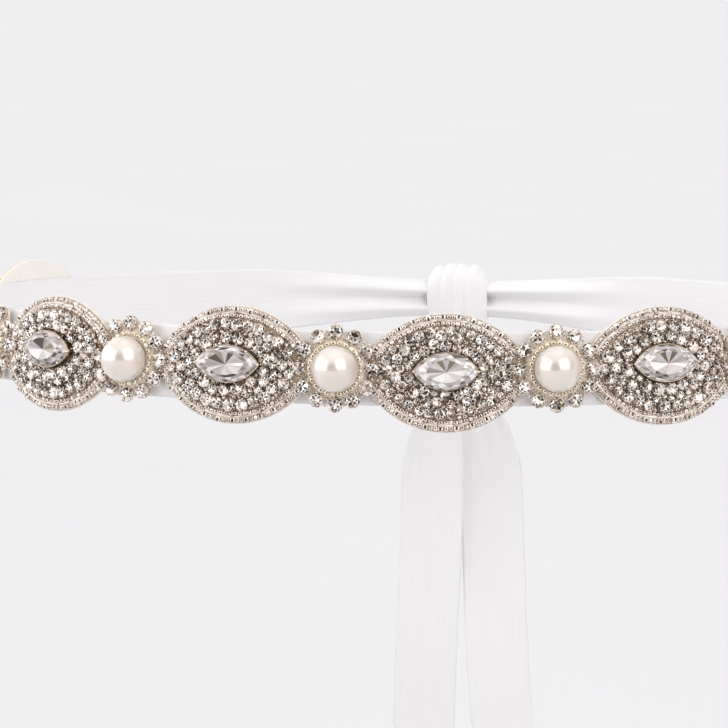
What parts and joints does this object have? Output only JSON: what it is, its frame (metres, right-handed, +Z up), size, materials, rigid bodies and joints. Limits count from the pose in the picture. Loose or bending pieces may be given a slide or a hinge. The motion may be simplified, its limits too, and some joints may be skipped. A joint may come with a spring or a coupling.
{
  "type": "bridal sash",
  "caption": "Worn bridal sash: a white satin ribbon tied at the back, its front covered by a row of beaded crystal ovals and pearl flowers.",
  "frame": {"origin": "middle of the waist ring, at half the ribbon's height, where the wearer holds it", "axes": "+Z up the wearer, -Y the front with the applique, +X to the left hand of the wearer"},
  "size_m": [0.2722, 0.2054, 0.2488],
  "materials": {
    "satin": "white polyester satin, soft sheen",
    "beadwork": "silver-lined clear seed beads and round stones sewn on net and felt",
    "crystal": "clear faceted glass, foiled behind",
    "rhinestone": "clear faceted glass in silver claw cups, foiled behind",
    "pearl": "ivory pearl coat, glossy",
    "silver": "bright silver plate, slightly warm"
  },
  "bodies": {
    "root": {"ribbon_front": "satin", "ribbon_left": "satin", "ribbon_right": "satin", "knot": "satin", "tail_left": "satin", "tail_right": "satin", "medallion_1": "beadwork", "medallion_2": "beadwork", "medallion_3": "beadwork", "medallion_4": "beadwork", "medallion_5": "beadwork", "medallion_6": "beadwork", "medallion_7": "beadwork", "medallion_8": "beadwork", "crystal_1": "crystal", "crystal_2": "crystal", "crystal_3": "crystal", "crystal_4": "crystal", "crystal_5": "crystal", "crystal_6": "crystal", "crystal_7": "crystal", "crystal_8": "crystal", "flower_1": "rhinestone", "flower_2": "rhinestone", "flower_3": "rhinestone", "flower_4": "rhinestone", "flower_5": "rhinestone", "flower_6": "rhinestone", "flower_7": "rhinestone", "pearl_1": "pearl", "pearl_2": "pearl", "pearl_3": "pearl", "pearl_4": "pearl", "pearl_5": "pearl", "pearl_6": "pearl", "pearl_7": "pearl"}
  },
  "joints": []
}
